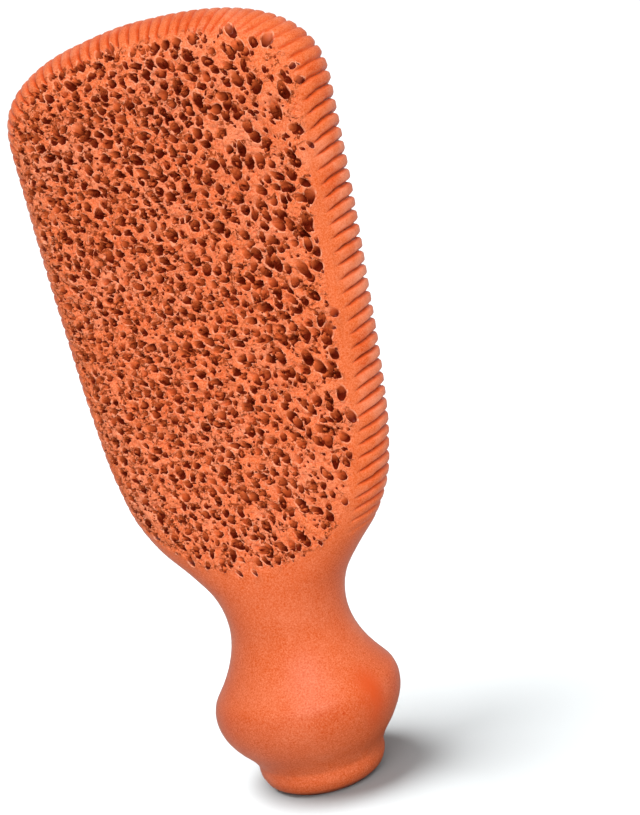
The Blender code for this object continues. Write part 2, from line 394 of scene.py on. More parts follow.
class Rings:
    """Rings round the body, one for each distance along the outline, as columns of numbers.

    In its own plane a ring is |r| ** squareness + (y / half depth) ** 2 = 1, where r is the share of
    the way out from the middle to the rim, and the plane bends up towards the top of the paddle.
    """

    def __init__(self, distance):
        self.distance = distance[:, None]
        self.half_width = np.interp(self.distance, OUTLINE_DISTANCE, OUTLINE_WIDTH)
        self.rim_height = np.interp(self.distance, OUTLINE_DISTANCE, OUTLINE_HEIGHT)
        bend_length = OUTLINE_LENGTH - BEND_DISTANCE
        left_to_go = np.clip((OUTLINE_LENGTH - self.distance) / bend_length, 0, 1)
        rise = BEND_END - BEND_START
        bent_height = BEND_START + rise * (1 - left_to_go ** (bend_length / rise))
        self.middle_height = np.where(self.distance > BEND_DISTANCE, bent_height, self.rim_height)
        flat = curve_through(THICKNESS, self.middle_height)
        self.half_depth = np.where(self.rim_height < NECK_HEIGHT, self.half_width, flat)
        self.reach = np.hypot(self.half_width, self.rim_height - self.middle_height)
        self.squareness = np.maximum(2, 2 * self.reach / self.half_depth)

    def points(self, turn, side):
        """Points at angles round the rings: 0 is the front's middle, half a turn the back's."""
        share = np.sin(turn)
        depth = self.half_depth * np.sqrt(np.clip(1 - share**self.squareness, 0, 1))
        x = side * self.half_width * share
        y = -np.sign(np.cos(turn)) * depth
        z = self.middle_height + (self.rim_height - self.middle_height) * share
        return np.stack([x, y, z], axis=-1)


def spread(place, spacing, length):
    """Places whose spacing follows a wish: equal steps of the running sum of length / spacing."""
    steps = np.diff(length) / ((spacing[1:] + spacing[:-1]) / 2)
    count = np.concatenate([[0], np.cumsum(steps)])
    return np.interp(np.linspace(0, count[-1], round(count[-1]) + 1), count, place)


def ring_distances():
    """Distances along the outline for the rings, close together where the clay is pitted."""
    spacing = line_through(SPACING_ALONG, OUTLINE_HEIGHT) * MM
    return spread(OUTLINE_DISTANCE, spacing, OUTLINE_DISTANCE)


def ring_turns():
    """Angles round half a ring, from the front's middle to the back's, for a ring of the paddle."""
    turn = np.linspace(0, math.pi, 4001)
    paddle = Rings(np.array([np.interp(ARCH_START, OUTLINE_HEIGHT, OUTLINE_DISTANCE)]))
    steps = np.linalg.norm(np.diff(paddle.points(turn, 1)[0], axis=0), axis=1)
    length = np.concatenate([[0], np.cumsum(steps)])
    share, spacing = np.array(SPACING_ROUND).T
    turns = spread(turn, np.interp(length / length[-1], share, spacing) * MM, length)
    middle = int(np.argmin(abs(turns - math.pi / 2)))
    turns[middle] = math.pi / 2
    return turns


def value_noise(points, size, seed):
    """Soft random heights from -1 to 1: random values at the corners of cubes, blended smoothly."""
    cells = 32
    table = np.random.default_rng(seed).uniform(-1, 1, (cells, cells, cells))
    place = points / size
    corner = np.floor(place).astype(int)
    share = place - corner
    share = share * share * (3 - 2 * share)
    height = 0
    for step in itertools.product((0, 1), repeat=3):
        weight = np.prod(np.where(step, share, 1 - share), axis=-1)
        index = (corner + step) % cells
        height = height + weight * table[index[..., 0], index[..., 1], index[..., 2]]
    return height


def rough_noise(points, size, seed, layers=3):
    """Value noise with finer and weaker layers added, each half the size and strength of the last."""
    layer = [value_noise(points, size / 2**n, seed + n) / 2**n for n in range(layers)]
    return sum(layer)


def lowest_pit(x):
    """The lower edge of the pitted field, which rises with a power of the way from the centre line."""
    return LOWEST_PIT + abs(x / BOWL_DISTANCE) ** BOWL_POWER * BOWL_RISE


class Pokes:
    """A jittered hexagonal grid of slanted pokes into the face, as arrays by row and column.

    The numbers of each poke are drawn at random, between the limits in the pairs below. A poke heads to
    the right and down, at an angle scattered round a middle one in degrees. Low on the face the pokes
    are smaller, fewer, longer, steeper and more slanted. Near the top they are larger and darker, and
    on the right larger, fewer, longer and steeper. The edge of the field wanders from poke to poke.
    The grid has spare rows above the paddle, and spare columns on both sides.
    """

    JITTER = (-0.25, 0.25)
    SIZE = (0.75, 1.2)
    DEPTH = (0.7, 1.15)
    STRETCH = (1.1, 1.55)
    MORE_STRETCH = (0, 0.8)
    HEADING, HEADING_SPREAD, MORE_HEADING = 52, 18, 12
    LEAN, MORE_LEAN = (0.3, 0.7), 0.25
    SHADE, MORE_SHADE = (-0.2, 0.6), 0.2
    WANDER = 0.6 * MM
    SPARE_ROWS, SPARE_COLUMNS = 8, 16
    LOW = (80 * MM, 50 * MM)
    HIGH = (100 * MM, 135 * MM)
    RIGHT = (5 * MM, 20 * MM)

    def __init__(self, spacing, radius, depth, share, seed):
        chance = np.random.default_rng(seed)
        self.spacing = spacing
        self.row_height = spacing * math.sqrt(3) / 2
        self.rows = int(HEIGHT / self.row_height) + self.SPARE_ROWS
        self.columns = 2 * int(PADDLE_HALF_WIDTH / spacing) + self.SPARE_COLUMNS
        shape = (self.rows, self.columns)
        row, column = np.indices(shape)
        self.x = (column - self.columns // 2 + 0.5 * (row % 2)) * spacing
        self.z = row * self.row_height
        self.x = self.x + chance.uniform(*self.JITTER, shape) * spacing
        self.z = self.z + chance.uniform(*self.JITTER, shape) * spacing
        low = smooth_step(*self.LOW, self.z)
        high = smooth_step(*self.HIGH, self.z)
        right = smooth_step(*self.RIGHT, self.x)
        low_or_right = np.maximum(low, right)
        across = self.x / PADDLE_HALF_WIDTH
        size = chance.uniform(*self.SIZE, shape) * (1 + 0.1 * across - 0.1 * low + 0.06 * high)
        self.radius = radius * size
        self.depth = depth * size * chance.uniform(*self.DEPTH, shape)
        stretch = chance.uniform(*self.STRETCH, shape)
        self.stretch = stretch + low_or_right * chance.uniform(*self.MORE_STRETCH, shape)
        heading = chance.normal(self.HEADING, self.HEADING_SPREAD, shape)
        self.heading = -np.radians(heading + self.MORE_HEADING * low_or_right)
        self.lean = chance.uniform(*self.LEAN, shape) + self.MORE_LEAN * low
        self.shade = chance.uniform(*self.SHADE, shape) + self.MORE_SHADE * high
        wander = chance.normal(0, self.WANDER, shape)
        share = share * (1 - 0.35 * right - 0.1 * low)
        self.alive = (chance.uniform(size=shape) < share) & inside_face(self.x, self.z, wander)


def inside_face(x, z, wander):
    """Whether a place on the face is inside the pitted field, whose edge wanders a little.

    The margin goes from the side's to the top's as the way to the nearest point of the outline turns
    upwards. A sixth of the outline's points is enough for this.
    """
    rim_x = np.concatenate([OUTLINE_WIDTH, -OUTLINE_WIDTH])[::6]
    rim_z = np.concatenate([OUTLINE_HEIGHT, OUTLINE_HEIGHT])[::6]
    gap = np.hypot(rim_x - x[..., None], rim_z - z[..., None])
    nearest = np.argmin(gap, axis=-1)
    distance = np.min(gap, axis=-1)
    upward = np.clip((rim_z[nearest] - z) / distance, 0, 1)
    side = np.where(x > 0, line_through(PITS_FROM_RIGHT, z) * MM, PITS_FROM_LEFT)
    margin = side * (1 - upward) + PITS_FROM_TOP * upward
    inside = abs(x) < np.interp(z, OUTLINE_HEIGHT, OUTLINE_WIDTH)
    return inside & (distance > margin + wander) & (z > lowest_pit(x) + wander)


def poke(pokes, x, z, active, result, order):
    """Undo one set of pokes after another, the last first, to find which pit each place is in.

    A place inside a mouth belongs to that pit. A place outside was pushed away from the poke, so it
    is moved back towards it by the factor sqrt(1 - push / e ** 2), where e is its distance in radii.
    The earlier pits are then found there, squeezed by the later pokes as in real clay.

    A pit's depth goes with (1 - e ** power) ** 0.6. The power grows from the back to the front, so that
    the back slopes and the front is steep, and the front is deeper. The lip round the mouth is the bell
    curve exp(-((e - 1) / lip width) ** 2), and is lower at the back.
    """
    for group in order:
        row_group, column_group = divmod(group, GROUPS)
        row = row_group + GROUPS * np.rint((z / pokes.row_height - row_group) / GROUPS).astype(int)
        row = np.clip(row, 0, pokes.rows - 1)
        across = x / pokes.spacing - 0.5 * (row % 2) + pokes.columns // 2
        column = column_group + GROUPS * np.rint((across - column_group) / GROUPS).astype(int)
        column = np.clip(column, 0, pokes.columns - 1)
        at = (row, column)
        dx, dz = x - pokes.x[at], z - pokes.z[at]
        cosine, sine = np.cos(pokes.heading[at]), np.sin(pokes.heading[at])
        along = (dx * cosine + dz * sine) / (pokes.radius[at] * pokes.stretch[at])
        aside = (dz * cosine - dx * sine) / pokes.radius[at]
        taper = 1 - MOUTH_TAPER * np.clip(-along, 0, 1) * (pokes.stretch[at] - 1)
        e = np.hypot(along, aside / taper)
        near = active & pokes.alive[at] & (e < PUSH_REACH)
        nearest = near & (e < result["edge"])
        result["edge"] = np.where(nearest, e, result["edge"])
        result["shade"] = np.where(nearest, along + pokes.shade[at], result["shade"])
        mouth = near & (e < 1)
        ahead = np.clip(along, -1, 1)
        bore = (1 - np.clip(e, 0, 1) ** (BORE_POWER + BORE_POWER_CHANGE * ahead)) ** 0.6
        bore = pokes.depth[at] * bore * (BORE_DEPTH + BORE_DEPTH_CHANGE * ahead)
        result["depth"][mouth] = bore[mouth]
        result["lean_x"][mouth] = (pokes.lean[at] * cosine)[mouth]
        result["lean_z"][mouth] = (pokes.lean[at] * sine)[mouth]
        active &= ~mouth
        near &= ~mouth
        push = PUSH * smooth_step(PUSH_REACH, 1.0, e)
        factor = np.sqrt(np.clip(1 - push / np.maximum(e, 1) ** 2, 0, 1))
        x = np.where(near, pokes.x[at] + dx * factor, x)
        z = np.where(near, pokes.z[at] + dz * factor, z)
        lip = np.exp(-(((e - 1) / LIP_WIDTH) ** 2)) * (0.25 + 0.75 * smooth_step(-0.9, 0.3, along))
        result["lip"] = np.where(near, np.maximum(result["lip"], lip), result["lip"])
    return x, z


def pit_the_face(points, sizes):
    """The pits at every point: depth, sideways lean and raised lip, from three kinds of poke.

    In the making, the small pokes come between the two halves of the large ones, and the tiny ones come
    last. Here they are undone from the last to the first, at places that a noise has moved a little.
    """
    waver = MOUTH_WAVER * (1 + smooth_step(*WAVER_ACROSS, points[:, 0]))
    x = points[:, 0] + waver * rough_noise(points, MOUTH_WAVE, 21)
    z = points[:, 2] + waver * rough_noise(points, MOUTH_WAVE, 31)
    active = np.ones(len(x), bool)
    result = {name: np.zeros(len(x)) for name in ("depth", "lean_x", "lean_z", "lip", "shade")}
    result["edge"] = np.full(len(x), PUSH_REACH)
    kinds = []
    for number, (spacing, size, share) in enumerate(POKE_KINDS):
        radius, depth = sizes.pit_radius * size, sizes.pit_depth * size
        kinds.append(Pokes(sizes.pit_spacing * spacing, radius, depth, share, sizes.seed + number))
    large, small, tiny = kinds
    order = np.random.default_rng(sizes.seed + 3).permutation(GROUPS * GROUPS)
    half = len(order) // 2
    x, z = poke(tiny, x, z, active, result, order)
    x, z = poke(large, x, z, active, result, order[:half])
    x, z = poke(small, x, z, active, result, order)
    poke(large, x, z, active, result, order[half:])
    return result


def notch_the_rim(rings, turn, side, sizes):
    """Depth of the notches and how far inside the notched band each point lies.

    Along the rim the clay bulges between sharp notches: the depth is |twice the way from the middle
    of a rib to its edge| ** power. The power is 7 where a notch starts, so that it is a thin line there,
    and falls to 4 at the rim. It is lower by up to 2 on a rib's soft side, and higher by up to 1 on the
    other. The number of ribs up to a place is the running sum of 1 / pitch.
    """
    share = np.sin(turn)
    place = side * (OUTLINE_LENGTH - rings.distance)
    inward = rings.reach * (1 - share)
    place = place + line_through(NOTCH_LEAN, place) * inward
    place = place + NOTCH_WAVER * rough_noise(rings.points(turn, side), NOTCH_WAVE, 61)
    fine = np.linspace(-150, 150, 6001) * MM
    pitch = line_through(NOTCH_PITCH, fine) * MM
    count = np.concatenate([[0], np.cumsum(np.diff(fine) / pitch[1:])])
    phase = np.interp(place, fine, count)
    rib = np.rint(phase).astype(int)
    chance = np.random.default_rng(sizes.seed + 3).uniform(*NOTCH_CHANCE, NOTCH_DRAWS)
    start = np.where(np.cos(turn) < 0, NOTCH_START_BEHIND, line_through(NOTCH_START, place))
    paddle = smooth_step(*NOTCHES_FADE_IN, rings.rim_height)
    band = smooth_step(start, start + NOTCH_RUN_IN, share) * paddle
    top = smooth_step(*TOP_REACH, abs(place)) * smooth_step(*TOP_RIM, share)
    strength = chance[rib % NOTCH_DRAWS] * line_through(NOTCH_STRENGTH, place) * (1 - TOP_FADE * top)
    from_middle = 2 * (phase - rib)
    softer = line_through(NOTCH_SOFT_SIDE, place) * from_middle
    power = POWER_INSIDE - (POWER_INSIDE - POWER_AT_RIM) * smooth_step(start, 1, share)
    power = power - POWER_CHANGE * np.clip(softer, -0.5, 1)
    return sizes.notch_depth * strength * band * abs(from_middle) ** power, band


def field_of_pits(rings, turn, side):
    """How surely each point is in the pitted field, from 0 to 1, by its distance from the rim."""
    share = np.sin(turn)
    inward = rings.reach * (1 - share)
    x = side * rings.half_width * share
    z = rings.middle_height + (rings.rim_height - rings.middle_height) * share
    margin = line_through(PITS_FROM_RIGHT, z) * MM if side > 0 else PITS_FROM_LEFT
    margin = margin + (PITS_FROM_TOP - margin) * smooth_step(*TOP_MARGIN, rings.rim_height)
    front = smooth_step(-0.1, 0.1, np.cos(turn))
    return smooth_step(*FIELD_EDGE, inward - margin) * smooth_step(*FIELD_EDGE, z - lowest_pit(x)) * front


def outward_normals(points):
    """Directions square to the surface: the step round a ring crossed with the step along the outline.

    The last ring is folded flat at the top of the centre line, so there they don't point sideways.
    """
    along = np.gradient(points, axis=0)
    across = np.roll(points, -1, axis=1) - np.roll(points, 1, axis=1)
    normal = np.cross(across, along)
    normal[-1, :, 0] = 0
    return normal / np.maximum(np.linalg.norm(normal, axis=-1, keepdims=True), 1e-12)


def work_the_face(points, normal, field, sizes):
    """How far the pokes and the torn clay shift each point, and the marks of the pits.

    A pit's points go inwards by its depth, and along its heading by its lean times the depth. The torn
    clay is raised by the lips, a rough noise and a swelling, and cracked by 1 - |noise| / 0.2 where that
    is above 0.
    """
    shape = points.shape[:2]
    marks = {"edge": np.full(shape, PUSH_REACH), "shade": np.zeros(shape)}
    flat = points.reshape(-1, 3)
    face = (flat[:, 1] < 0) & (flat[:, 2] > FACE_START)
    places = flat[face]
    pits = pit_the_face(places, sizes)
    rough = rough_noise(places, ROUGH_SIZE, 41)
    torn = 1 - abs(rough_noise(places, CRACK_SIZE, 51)) * 2
    crack = np.clip(torn - 0.6, 0, 1) / 0.4
    relief = ROUGH_HEIGHT * rough + SWELL_HEIGHT * value_noise(places, SWELL_SIZE, 71) - CRACK_DEPTH * crack
    raised = LIP_HEIGHT * pits["lip"] + relief * field.reshape(-1)[face]
    depth = pits["depth"] * (1 + PIT_ROUGHNESS * rough)
    shift = np.zeros_like(flat)
    shift[face] = -normal.reshape(-1, 3)[face] * (depth - raised)[:, None]
    shift[face, 0] += pits["lean_x"] * depth
    shift[face, 2] += pits["lean_z"] * depth
    for name, mark in marks.items():
        mark.reshape(-1)[face] = pits[name]
    return shift.reshape(points.shape), marks


def lift_by_hand(points):
    """How far up the hand moved each point: the knob's tilt, less the drop of the upper left corner."""
    x, y, height = np.moveaxis(points, -1, 0)
    knob = smooth_step(*TILT_FADE_IN, height) * smooth_step(*TILT_FADE_OUT, height)
    corner = smooth_step(*CORNER_ACROSS, x) * smooth_step(*CORNER_UP, height)
    return knob * (KNOB_TILT[0] * x + KNOB_TILT[1] * y) - CORNER_DROP * corner


def clay_points(sizes):
    """The whole surface as a grid of points, with the marks that its material reads.

    Each ring runs from the front's middle round the right to the back's, and on round the left. Its
    points go inwards by the notches and a hair, shift with the pits and the torn clay, and move up or
    down by hand. The lowest ring stays as it was, flat and round.
    """
    rings = Rings(ring_distances())
    turn = ring_turns()
    halves = [(turn, 1), (turn[-2:0:-1], -1)]
    points = np.concatenate([rings.points(angles, side) for angles, side in halves], axis=1)
    field = np.concatenate([field_of_pits(rings, angles, side) for angles, side in halves], axis=1)
    notches = [notch_the_rim(rings, angles, side, sizes) for angles, side in halves]
    notch, band = (np.concatenate(part, axis=1) for part in zip(*notches))
    normal = outward_normals(points)
    shift, marks = work_the_face(points, normal, field, sizes)
    marks.update(rim=band, notch=notch / sizes.notch_depth, face=field)
    moved = points - normal * (notch + CLAY_INSET)[..., None] + shift
    moved[..., 2] += lift_by_hand(points)
    moved[0] = points[0]
    return moved, marks


def clay_faces(rows, columns):
    """Quads between neighbouring rings. The last ring is folded flat, so its halves share points."""
    index = np.arange(rows * columns).reshape(rows, columns)
    fold = np.arange(columns // 2 + 1, columns)
    index[-1, fold] = index[-1, columns - fold]
    following = np.roll(index, -1, axis=1)
    return np.stack([index[:-1], following[:-1], following[1:], index[1:]], axis=-1).reshape(-1, 4)


def foot_cap(ring):
    """Rings that close the flat underside of the foot, from near its middle to its edge."""
    middle = ring.mean(axis=0)
    return np.array([middle + (ring - middle) * share for share in FOOT_RINGS])


def clay_mesh(sizes):
    """The clay as one closed mesh, with its marks as point attributes."""
    points, marks = clay_points(sizes)
    cap = foot_cap(points[0])
    points = np.concatenate([cap, points])
    rows, columns = points.shape[:2]
    faces = clay_faces(rows, columns)
    innermost = np.arange(columns)[::-1]
    mesh = bpy.data.meshes.new("foot_scrubber_clay")
    loops = np.concatenate([innermost, faces.ravel()]).astype(np.int32)
    starts = np.concatenate([[0], columns + 4 * np.arange(len(faces))]).astype(np.int32)
    mesh.vertices.add(rows * columns)
    mesh.vertices.foreach_set("co", points.astype(np.float32).ravel())
    mesh.loops.add(len(loops))
    mesh.loops.foreach_set("vertex_index", loops)
    mesh.polygons.add(len(starts))
    mesh.polygons.foreach_set("loop_start", starts)
    mesh.update(calc_edges=True)
    for name, value in marks.items():
        padded = np.concatenate([np.zeros((len(cap), columns)), value])
        attribute = mesh.attributes.new(name, "FLOAT", "POINT")
        attribute.data.foreach_set("value", padded.astype(np.float32).ravel())
    mesh.validate()
    return mesh


def thin_out(piece, most, limit):
    """Bring a mesh down to a number of triangles, thinning its flattest places first."""
    piece.data.calc_loop_triangles()
    modifier = piece.modifiers.new("Thin", "DECIMATE")
    modifier.ratio = most / len(piece.data.loop_triangles)
    evaluated = piece.evaluated_get(bpy.context.evaluated_depsgraph_get())
    mesh = bpy.data.meshes.new_from_object(evaluated)
    piece.modifiers.clear()
    piece.data = mesh
    mesh.shade_smooth()
    mesh.calc_loop_triangles()
    if len(mesh.loop_triangles) >= limit:
        raise RuntimeError(f"{piece.name} still has {len(mesh.loop_triangles)} triangles")


# The noises of the finish, as waves in a metre, detail and roughness.
CLOUD_NOISE = (90, 5, 0.65)
RUST_NOISE = (120, 3, 0.65)
SPECK_NOISE = (3400, 3, 0.75)
SAND_NOISE = (2200, 3, 0.6)
FOLD_NOISE = (620, 2, 0.5)
TEAR_NOISE = (420, 1, 0.5)
BREAK_NOISE = (1500, 1, 0.5)
PATCH_NOISE = (240, 3, 0.6)
LIP_NOISE = (700, 2, 0.6)
RUB_NOISE = (260, 3, 0.6)
# How strongly a speck changes red, green and blue.
SPECK_COLOUR = (1.5, 0.92, 0.60, 1)
# The patch of darker, stronger orange on the right of the knob: its middle, how much the ways across,
# back and up count in the distance from it, and the distances at which it starts and is full.
PATCH_MIDDLE = (15.5 * MM, -8.4 * MM, 19 * MM)
PATCH_SQUEEZE = (1.2, 1.2, 0.65)
PATCH_FADE = (5.5 * MM, 1.0 * MM)
# Heights between which the paddle's colour, and the painted shade under the knob's ridge where the clay
# turns to face down, fade in and out.
PADDLE_FADE = (42 * MM, 55 * MM)
RIDGE_SHADE_FROM_ABOVE = (21.0 * MM, 19.0 * MM)
RIDGE_SHADE_FROM_BELOW = (12.5 * MM, 17.5 * MM)
# The depth of the relief that is finer than the mesh.
GRAIN_DEPTH = 0.25 * MM


def feed(tree, socket, value):
    """Link an input to another node's output, or set it to a value."""
    if isinstance(value, bpy.types.NodeSocket):
        tree.links.new(value, socket)
    else:
        socket.default_value = value


def add_node(tree, kind, settings=(), **inputs):
    """Add a shader node, set its properties, and set or link its inputs by name."""
    node = tree.nodes.new(kind)
    for name, value in dict(settings).items():
        setattr(node, name, value)
    for name, value in inputs.items():
        feed(tree, node.inputs[name.replace("_", " ")], value)
    return node


def mix_colours(tree, factor, first, second, blend="MIX"):
    """Mix two colours, each a socket or a value, by a factor."""
    node = add_node(tree, "ShaderNodeMix", {"data_type": "RGBA", "blend_type": blend})
    for number, value in ((0, factor), (6, first), (7, second)):
        feed(tree, node.inputs[number], value)
    return node.outputs[2]


def calculate(tree, operation, first, *others):
    """A sum, product or other operation, carried on from the first number to the last."""
    for other in others or (0.0,):
        node = add_node(tree, "ShaderNodeMath", {"operation": operation})
        feed(tree, node.inputs[0], first)
        feed(tree, node.inputs[1], other)
        first = node.outputs[0]
    return first


def times(tree, first, *others):
    """The product of two numbers or more."""
    return calculate(tree, "MULTIPLY", first, *others)


def distance_from(tree, value, level):
    """How far a number is from a level, either way."""
    return calculate(tree, "ABSOLUTE", calculate(tree, "SUBTRACT", value, level))


def remap(tree, value, low, high, to_low=0.0, to_high=1.0):
    """Map a value from one range to another, clamped."""
    ranges = {"From_Min": low, "From_Max": high, "To_Min": to_low, "To_Max": to_high}
    return add_node(tree, "ShaderNodeMapRange", Value=value, **ranges).outputs["Result"]


def noise(tree, place, scale, detail, roughness):
    """A noise texture on Object coordinates, from 0 to 1."""
    numbers = {"Scale": scale, "Detail": detail, "Roughness": roughness}
    return add_node(tree, "ShaderNodeTexNoise", Vector=place, **numbers).outputs["Fac"]


def new_group(name, inputs, outputs):
    """A shader node group with named inputs and outputs."""
    tree = bpy.data.node_groups.new(name, "ShaderNodeTree")
    for socket_name, kind, default in inputs:
        socket = tree.interface.new_socket(socket_name, in_out="INPUT", socket_type=kind)
        if default is not None:
            socket.default_value = default
    for socket_name, kind in outputs:
        tree.interface.new_socket(socket_name, in_out="OUTPUT", socket_type=kind)
    return tree, tree.nodes.new("NodeGroupInput"), tree.nodes.new("NodeGroupOutput")


def fired_mottle_group():
    """Cloudy colour from the kiln: paler and rustier patches, and fine specks of grog."""
    tree, given, result = new_group(
        "fired_mottle",
        [
            ("Place", "NodeSocketVector", None),
            ("Clay", "NodeSocketColor", None),
            ("Pale", "NodeSocketColor", None),
            ("Rusty", "NodeSocketColor", None),
            ("Cloudiness", "NodeSocketFloat", 0.5),
            ("Specks", "NodeSocketFloat", 0.3),
        ],
        [("Colour", "NodeSocketColor")],
    )
    place, cloudiness = given.outputs["Place"], given.outputs["Cloudiness"]
    clouds = times(tree, remap(tree, noise(tree, place, *CLOUD_NOISE), 0.46, 0.72), cloudiness)
    rust = times(tree, remap(tree, noise(tree, place, *RUST_NOISE), 0.52, 0.70), cloudiness)
    specks = calculate(tree, "SUBTRACT", noise(tree, place, *SPECK_NOISE), 0.5)
    specks = times(tree, specks, given.outputs["Specks"])
    colour = mix_colours(tree, clouds, given.outputs["Clay"], given.outputs["Pale"])
    colour = mix_colours(tree, rust, colour, given.outputs["Rusty"])
    specks = mix_colours(tree, 1.0, specks, SPECK_COLOUR, "MULTIPLY")
    feed(tree, result.inputs["Colour"], mix_colours(tree, 1.0, colour, specks, "ADD"))
    return tree


def clay_grain_group():
    """Relief finer than the mesh: sandy grain everywhere, and cracks and crumbs where the clay is torn.

    A crack runs where a noise is close to its middle value and another one breaks the clay. A crumb
    stands beside it, where the first noise is a little higher. Both come in patches, more on the left.
    """
    tree, given, result = new_group(
        "clay_grain",
        [("Place", "NodeSocketVector", None), ("Torn", "NodeSocketFloat", 0.0)],
        [("Height", "NodeSocketFloat"), ("Cracks", "NodeSocketFloat"), ("Crumbs", "NodeSocketFloat")],
    )
    place, torn = given.outputs["Place"], given.outputs["Torn"]
    sand = times(tree, noise(tree, place, *SAND_NOISE), 0.35)
    across = add_node(tree, "ShaderNodeSeparateXYZ", Vector=place).outputs["X"]
    leftward = remap(tree, across, 15 * MM, -25 * MM, -0.04, 0.06)
    patches = calculate(tree, "ADD", noise(tree, place, *TEAR_NOISE), leftward)
    patches = times(tree, remap(tree, patches, 0.50, 0.56), torn)
    broken = times(tree, patches, remap(tree, noise(tree, place, *BREAK_NOISE), 0.46, 0.52))
    folds = noise(tree, place, *FOLD_NOISE)
    ridges = distance_from(tree, folds, 0.5)
    cracks = times(tree, remap(tree, ridges, 0.07, 0.035), broken)
    crumbs = times(tree, remap(tree, distance_from(tree, folds, 0.605), 0.045, 0.02), patches)
    height = calculate(tree, "ADD", sand, calculate(tree, "ADD", times(tree, ridges, torn), crumbs))
    feed(tree, result.inputs["Height"], calculate(tree, "SUBTRACT", height, cracks))
    feed(tree, result.inputs["Cracks"], cracks)
    feed(tree, result.inputs["Crumbs"], crumbs)
    return tree


def fired_colour(tree, place, marks, looks):
    """The colour from the kiln: the clay's own, its clouds and specks, and a rusty patch on the knob.

    The paddle is paler than the handle, and shade is painted under the knob's ridge, where the clay faces
    down.
    The patch fades with the distance from its middle, and a noise breaks it up.
    """
    height = add_node(tree, "ShaderNodeSeparateXYZ", Vector=place).outputs["Z"]
    paddle = remap(tree, height, *PADDLE_FADE)
    clay = mix_colours(tree, paddle, (*looks.clay, 1), (*looks.paddle, 1))
    # Painted shade under the knob's ridge, where the clay faces down.
    under = times(tree, remap(tree, height, *RIDGE_SHADE_FROM_ABOVE), remap(tree, height, *RIDGE_SHADE_FROM_BELOW))
    clay = mix_colours(tree, under, clay, (*looks.shade_under_ridge, 1))
    worked = calculate(tree, "MAXIMUM", marks["rim"], times(tree, marks["face"], 0.6))
    mottle = add_node(
        tree, "ShaderNodeGroup", {"node_tree": fired_mottle_group()},
        Place=place, Clay=clay, Pale=(*looks.pale, 1), Rusty=(*looks.rusty, 1),
        Cloudiness=calculate(tree, "ADD", 0.22, times(tree, worked, 0.78)),
        Specks=calculate(tree, "ADD", 0.45, times(tree, marks["face"], 0.4)),
    )
    squeezed = add_node(tree, "ShaderNodeVectorMath", {"operation": "MULTIPLY"})
    feed(tree, squeezed.inputs[0], place)
    feed(tree, squeezed.inputs[1], PATCH_SQUEEZE)
    away = add_node(tree, "ShaderNodeVectorMath", {"operation": "DISTANCE"})
    feed(tree, away.inputs[0], squeezed.outputs["Vector"])
    feed(tree, away.inputs[1], tuple(np.multiply(PATCH_MIDDLE, PATCH_SQUEEZE)))
    patch = remap(tree, away.outputs["Value"], *PATCH_FADE)
    patch = times(tree, patch, remap(tree, noise(tree, place, *PATCH_NOISE), 0.25, 0.5))
    return mix_colours(tree, patch, mottle.outputs["Colour"], (*looks.patch, 1))


def tool_colours(tree, place, marks, grain, colour, looks):
    """What is painted where the tools worked: highlights on lips and crumbs, and shade in cracks, notches
    and pits.

    A pit's inside begins at its mouth, softly at the back and sharply at the front. Its painted shade, which
    rises from back to front, goes from the wall's colour to the dark one.
    """
    edge, shade, notch = marks["edge"], marks["shade"], marks["notch"]
    pale, wall, dark = (*looks.pale, 1), (*looks.wall, 1), (*looks.pit, 1)
    inside = remap(tree, edge, 1.02, remap(tree, shade, -1.0, -0.2, 0.5, 0.9))
    outside = calculate(tree, "SUBTRACT", 1.0, inside)
    # The painted highlight on the lips is strongest at the pits' fronts, where the edges face the light.
    front = remap(tree, shade, -0.8, 0.1, 0.1)
    broken = remap(tree, noise(tree, place, *LIP_NOISE), 0.42, 0.58)
    lip = times(tree, remap(tree, edge, 1.26, 1.1), outside, front, broken)
    # Painted highlight on the crumbs and lips, and a paler share all over the face.
    crumbs = times(tree, grain["Crumbs"], 0.6)
    highlights_and_pale = calculate(tree, "MAXIMUM", lip, crumbs, times(tree, marks["face"], 0.25))
    colour = mix_colours(tree, highlights_and_pale, colour, pale)
    colour = mix_colours(tree, times(tree, lip, 0.85), colour, (*looks.lip, 1))
    # Painted shade in the cracks.
    colour = mix_colours(tree, grain["Cracks"], colour, wall)
    colour = mix_colours(tree, times(tree, grain["Cracks"], 0.6), colour, dark)
    # Painted shade in the notches: stronger orange near their start, dark deeper in.
    colour = mix_colours(tree, remap(tree, notch, 0.03, 0.4, 0.0, 0.85), colour, (*looks.rusty, 1))
    colour = mix_colours(tree, remap(tree, notch, 0.4, 1.1, 0.0, 0.7), colour, dark)
    # Painted shade inside the pits: the wall's colour, then the dark one towards the steep front.
    colour = mix_colours(tree, times(tree, inside, remap(tree, shade, -1.1, -0.2, 0.15)), colour, wall)
    return mix_colours(tree, times(tree, inside, remap(tree, shade, -0.5, 0.45)), colour, dark)


